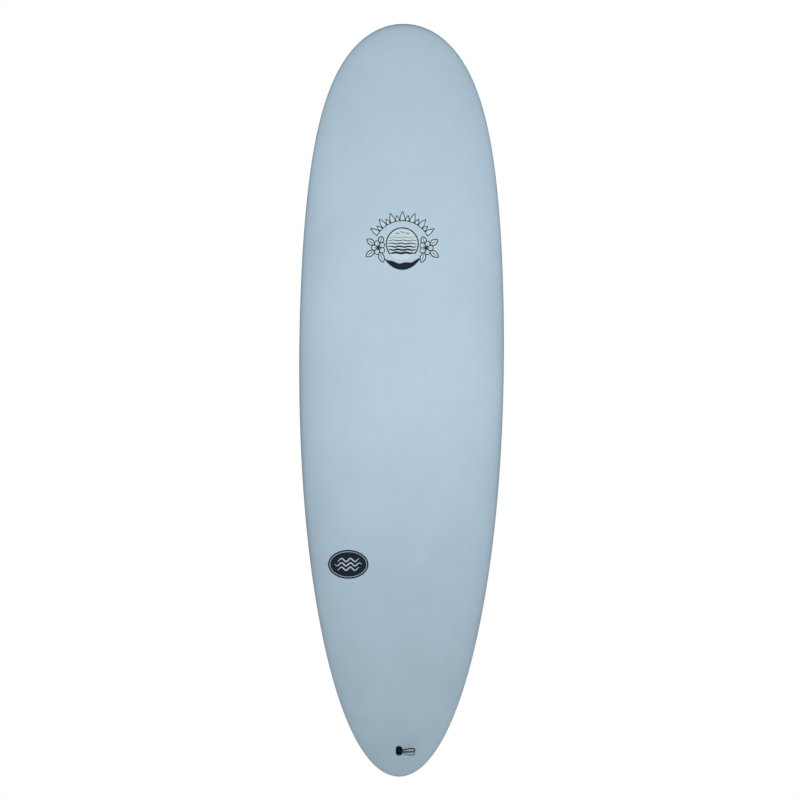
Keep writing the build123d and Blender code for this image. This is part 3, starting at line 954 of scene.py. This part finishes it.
def braided_tube(name, path, radius):
    """A tube along a path whose surface is raised where the braid's strands cross over."""
    rings = []
    walked = 0.0
    normal = None
    dense = []
    for start, end in zip(path, path[1:]):
        steps = max(1, round((end - start).length / BRAID_STEP))
        dense += [start.lerp(end, k / steps) for k in range(steps)]
    dense.append(path[-1])
    for k, point in enumerate(dense):
        before, after = dense[max(0, k - 1)], dense[min(len(dense) - 1, k + 1)]
        tangent = (after - before).normalized()
        if normal is None:
            normal = tangent.orthogonal().normalized()
        normal = (normal - tangent * normal.dot(tangent)).normalized()
        side = tangent.cross(normal)
        if k:
            walked += (point - dense[k - 1]).length
        ring = []
        for s in range(CORD_SIDES):
            turn = math.tau * s / CORD_SIDES
            twist = math.tau * walked / BRAID_LAY
            right = math.sin(4 * turn + twist * 2)
            left = math.sin(4 * turn - twist * 2)
            rise = 1 + 0.045 * max(right, left) + 0.025 * (right * left)
            reach = radius * rise * BRAID_FILL
            ring.append(point + (normal * math.cos(turn) + side * math.sin(turn)) * reach)
        rings.append(ring)
    return stack_rings(name, rings, Matrix.Identity(4), CORD, sharp=80.0)


def make_hitch():
    """Plain turns of the cord round the pin."""
    path = []
    for k in range(HITCH_STEPS):
        share = k / (HITCH_STEPS - 1)
        turn = HITCH_START - math.tau * HITCH_TURNS * (share - 0.5)
        across, out = HITCH_WRAP * math.sin(turn), HITCH_WRAP * math.cos(turn)
        path.append(plug_place @ Vector((across, HITCH_SPREAD * (share - 0.5), out - PIN_DEPTH)))
    return braided_tube("cord_hitch", path, STRING_RADIUS)


string_path = route_line("string_route", [plug_place @ Vector(p) for p in STRING_ROUTE])
leash_cord = braided_tube("cord_loop", string_path, STRING_RADIUS)
hitch = make_hitch()
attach(leash_cord, "leash_loop")
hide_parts("leash_string")
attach(hitch, "leash_loop")
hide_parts("leash_hitch")


# ---- fins --------------------------------------------------------------------------------------

FIN_GAP = 0.0008  # between the hull and the root of a fin
ROOT_BITE = 0.001  # how far a tab runs up into its blade
CENTRE_FIN = {
    "height": 0.178, "base": 0.126, "tip": 0.038, "rake": 0.092, "thick": 0.0078, "middle": 0.011,
}
SIDE_FIN = {
    "height": 0.096, "base": 0.104, "tip": 0.026, "rake": 0.052, "thick": 0.0064, "middle": 0.0,
}
FIN_EDGE = 0.0012  # thickness that a blade thins down toward at its tip
FIN_SWEEP = math.radians(80)
CHORD_POWER = 0.9
RAKE_POWER = 1.7
ROUND_FROM = 0.88  # share of the reach where the tip starts to round off
BLADE_LEVELS = 48
BLADE_SIDES = 64
FOIL_LEAN = 0.16  # moves the fullest part of the foil ahead of mid chord
FOIL_POWER = 1.55
EDGE_RADIUS = 0.00035

CENTRE_TAB = (0.008, -0.053, 0.075)  # thickness, front end and rear end
CENTRE_TAB_DEPTH = 0.0162
SIDE_TAB_THICK = 0.0066
SIDE_TAB_AT = 0.034
SIDE_TAB_HALF = 0.0137
SIDE_TAB_DEPTH = 0.0134

LEDGE_SCREW_AT = -0.064
LEDGE_HALF_LENGTH = 0.011
LEDGE_WIDTH = 0.008
LEDGE_BOTTOM = -0.0078
LEDGE_STEP = -0.00405
LEDGE_TOP = -0.0016
SHANK_HOLE = 0.00205
HEAD_HOLE = 0.00365
HOLE_SIDES = 32


def fin_slice(fin, reach):
    """Height, chord, middle and thickness of a blade, the reach going from 0 at its root to 1."""
    share = reach * math.sin(FIN_SWEEP)
    taper = math.sqrt(1 - share * share)
    chord = fin["tip"] + (fin["base"] - fin["tip"]) * taper**CHORD_POWER
    middle = fin["middle"] + fin["rake"] * share**RAKE_POWER
    thick = FIN_EDGE + (fin["thick"] - FIN_EDGE) * taper
    if reach > ROUND_FROM:
        past = (reach - ROUND_FROM) / (1 - ROUND_FROM)
        left = math.sqrt(max(0.0, 1 - past**2.4))
        front = middle - chord / 2
        back = middle + chord / 2
        front = back - (back - front) * (0.30 + 0.70 * left)
        back -= chord * 0.10 * (1 - left)
        middle, chord = (front + back) / 2, back - front
        thick *= 0.25 + 0.75 * left
    return FIN_GAP + reach * fin["height"], chord, middle, thick


def make_blade(name, fin, place):
    """A lens-shaped blade with a fine rounded edge, thickest a little ahead of mid chord."""
    rings = []
    for k in range(BLADE_LEVELS + 1):
        reach = math.sin(math.pi / 2 * k / BLADE_LEVELS)
        height, chord, middle, thick = fin_slice(fin, reach)
        ring = []
        for s in range(BLADE_SIDES):
            turn = math.tau * s / BLADE_SIDES
            along = -math.cos(turn)
            full = (1 - along * along) ** 0.5 * (1 - FOIL_LEAN * along)
            side = math.copysign(1.0, math.sin(turn)) if abs(math.sin(turn)) > 1e-9 else 0.0
            lens = thick / 2 * full**FOIL_POWER * side
            edge = EDGE_RADIUS * math.sin(turn)
            ring.append((lens + edge, middle + chord / 2 * along, height))
        rings.append(ring)
    return stack_rings(name, rings, place, FIN_BLACK, sharp=50.0)


def add_shape(piece, verts, faces):
    """Joins a further closed shape to a piece."""
    mesh = piece.data
    build = bmesh.new()
    build.from_mesh(mesh)
    made = [build.verts.new(v) for v in verts]
    for face in faces:
        build.faces.new([made[k] for k in face])
    bmesh.ops.recalc_face_normals(build, faces=build.faces)
    build.to_mesh(mesh)
    build.free()
    finish_mesh(piece, mesh.materials[0], 50.0)


def add_block(piece, place, width, along_from, along_to, top, bottom):
    half = width / 2
    corners = ((-half, along_from), (half, along_from), (half, along_to), (-half, along_to))
    verts = [place @ Vector((x, y, h)) for h in (bottom, top) for x, y in corners]
    faces = [(0, 3, 2, 1), (4, 5, 6, 7)]
    faces += [(k, (k + 1) % 4, 4 + (k + 1) % 4, 4 + k) for k in range(4)]
    add_shape(piece, verts, faces)


def add_ledge(piece, place):
    """The ledge ahead of the tab, with the stepped hole that the screw passes through."""
    hole = (
        (LEDGE_BOTTOM, SHANK_HOLE),
        (LEDGE_STEP, SHANK_HOLE),
        (LEDGE_STEP, HEAD_HOLE),
        (LEDGE_TOP, HEAD_HOLE),
    )
    count = HOLE_SIDES
    turns = [math.tau * k / count for k in range(count)]
    verts, faces = [], []
    for height, radius in hole:
        for turn in turns:
            x, y = radius * math.cos(turn), radius * math.sin(turn)
            verts.append(place @ Vector((x, LEDGE_SCREW_AT + y, height)))
    for height in (LEDGE_BOTTOM, LEDGE_TOP):
        for turn in turns:
            x, y = math.cos(turn), math.sin(turn)
            to_side = LEDGE_WIDTH / 2 / max(abs(x), 1e-6)
            to_end = LEDGE_HALF_LENGTH / max(abs(y), 1e-6)
            reach = min(to_side, to_end)
            verts.append(place @ Vector((reach * x, LEDGE_SCREW_AT + reach * y, height)))
    for k in range(count):
        n = (k + 1) % count
        for r in range(3):
            faces.append((r * count + k, r * count + n, (r + 1) * count + n, (r + 1) * count + k))
        faces.append((k, n, 4 * count + n, 4 * count + k))
        faces.append((3 * count + k, 3 * count + n, 5 * count + n, 5 * count + k))
        faces.append((4 * count + k, 4 * count + n, 5 * count + n, 5 * count + k))
    add_shape(piece, verts, faces)


centre_fin = make_blade("centre_blade", CENTRE_FIN, centre_place)
add_block(centre_fin, centre_place, *CENTRE_TAB, FIN_GAP + ROOT_BITE, -CENTRE_TAB_DEPTH)
add_ledge(centre_fin, centre_place)
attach(centre_fin, "centre_fin_set")
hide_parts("centre_fin")
for side, place in side_places.items():
    side_fin = make_blade("side_blade_" + side, SIDE_FIN, place)
    for along in (-SIDE_TAB_AT, SIDE_TAB_AT):
        ends = (along - SIDE_TAB_HALF, along + SIDE_TAB_HALF)
        add_block(side_fin, place, SIDE_TAB_THICK, *ends, FIN_GAP + ROOT_BITE, -SIDE_TAB_DEPTH)
    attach(side_fin, "fin_" + side)
    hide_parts("side_fin_" + side)


# ---- floor, light and camera -----------------------------------------------------------------

FLOOR_RADIUS = 2.3
FLOOR_LEVEL = -1.62
FLOOR_SIDES = 96


def make_floor():
    """A pale round floor, kept well below the tail so that little light bounces up to it."""
    verts = []
    for k in range(FLOOR_SIDES):
        turn = math.tau * k / FLOOR_SIDES
        verts.append((FLOOR_RADIUS * math.cos(turn), FLOOR_RADIUS * math.sin(turn), FLOOR_LEVEL))
    paint = Shade("floor_paint", (0.86,) * 3, 0.8)
    paint.colour(paint.ramp(paint.noise(3.0), [(0.3, (0.84,) * 3), (0.7, (0.88,) * 3)]))
    floor = make_piece("floor", verts, [tuple(range(FLOOR_SIDES))], paint.material)


def make_world():
    """White to the camera, dimmer as a light, so that the rails keep their shading."""
    world = bpy.data.worlds.new("studio")
    bpy.context.scene.world = world
    world.use_nodes = True
    tree = world.node_tree
    tree.nodes.clear()
    seen = tree.nodes.new("ShaderNodeBackground")
    seen.inputs["Color"].default_value = (1, 1, 1, 1)
    glow = tree.nodes.new("ShaderNodeBackground")
    glow.inputs["Color"].default_value = (0.97, 0.985, 1, 1)
    glow.inputs["Strength"].default_value = 0.17
    rays = tree.nodes.new("ShaderNodeLightPath")
    mixer = tree.nodes.new("ShaderNodeMixShader")
    output = tree.nodes.new("ShaderNodeOutputWorld")
    tree.links.new(rays.outputs["Is Camera Ray"], mixer.inputs[0])
    tree.links.new(glow.outputs[0], mixer.inputs[1])
    tree.links.new(seen.outputs[0], mixer.inputs[2])
    tree.links.new(mixer.outputs[0], output.inputs["Surface"])


def add_light(name, place, target, size, power):
    """A round area light, aimed at a point and unseen by the camera."""
    lamp = bpy.data.lights.new(name, "AREA")
    lamp.shape = "DISK"
    lamp.size = size
    lamp.energy = power
    holder = bpy.data.objects.new(name, lamp)
    holder.location = place
    holder.rotation_euler = (Vector(target) - Vector(place)).to_track_quat("-Z", "Y").to_euler()
    holder.visible_camera = False
    bpy.context.scene.collection.objects.link(holder)


LENS = 1000.0  # millimetres
SENSOR = 36.0
FRAME_WIDTH = 2.2166  # metres across the frame at the board
FRAME_CENTRE = (-0.0036, 0.0012)
ROLL = 0.37  # degrees


def make_camera():
    """Square on to the deck through a long lens, rolled by the little that the board leans."""
    lens = bpy.data.cameras.new("camera")
    lens.lens = LENS
    lens.clip_end = 500.0
    lens.sensor_width = SENSOR
    camera = bpy.data.objects.new("camera", lens)
    distance = FRAME_WIDTH * LENS / SENSOR
    camera.location = (FRAME_CENTRE[0], -distance, FRAME_CENTRE[1])
    turn = Matrix.Rotation(math.radians(90), 3, "X") @ Matrix.Rotation(math.radians(ROLL), 3, "Z")
    camera.rotation_euler = turn.to_euler()
    bpy.context.scene.collection.objects.link(camera)
    bpy.context.scene.camera = camera


make_floor()
make_world()
add_light("key", (0.07, -1.90, 0.24), (0.07, 0.0, 0.24), 0.30, 26.5)
add_light("back_fill", (0.9, 3.2, 2.0), (0.0, 0.0, -0.2), 2.0, 110.0)
for side in (-1.5, 1.5):
    add_light("floor_wash", (side, 0.0, -0.6), (side, 0.0, -2.0), 1.4, 5.0)
make_camera()
bpy.context.scene.view_settings.view_transform = "Standard"
bpy.context.scene.view_settings.look = "None"
